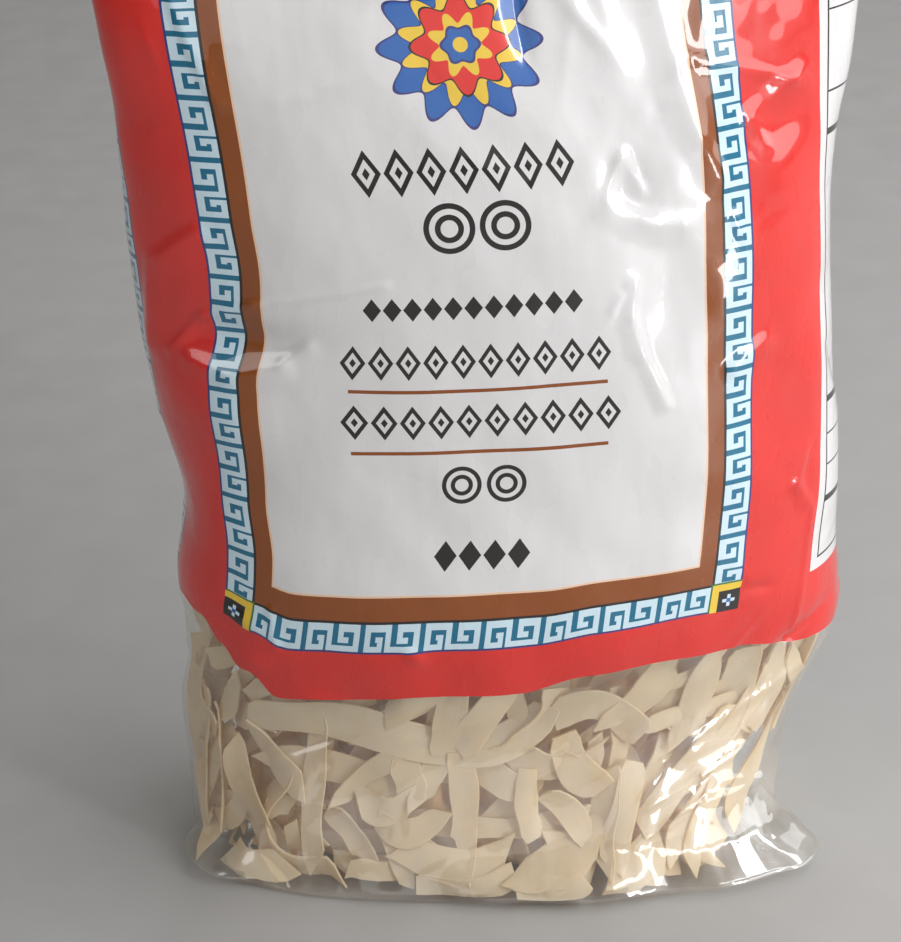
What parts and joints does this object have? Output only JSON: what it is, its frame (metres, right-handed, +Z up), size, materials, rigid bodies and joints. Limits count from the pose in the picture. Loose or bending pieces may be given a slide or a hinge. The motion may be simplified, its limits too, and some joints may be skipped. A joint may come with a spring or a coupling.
{
  "type": "sealed film pack of wide rice noodles",
  "caption": "Pillow pack of wide dried rice noodles: printed glossy film with a clear band at the foot, a crimped seal at the top and a lapped seam down the back, standing on its base.",
  "frame": {"origin": "on the surface the pack stands on, below the middle of its box", "axes": "+Z up to the top seal, -Y out of the printed front, +X to the right as the front is read"},
  "size_m": [0.1762, 0.0852, 0.262],
  "materials": {
    "printed_film": "thin glossy printed film, creased over its contents",
    "clear_film": "thin clear glossy film with no print",
    "noodles": "dry, slightly translucent cream ribbons of rice noodle"
  },
  "bodies": {
    "root": {"noodle_pack": "printed_film"}
  },
  "joints": []
}
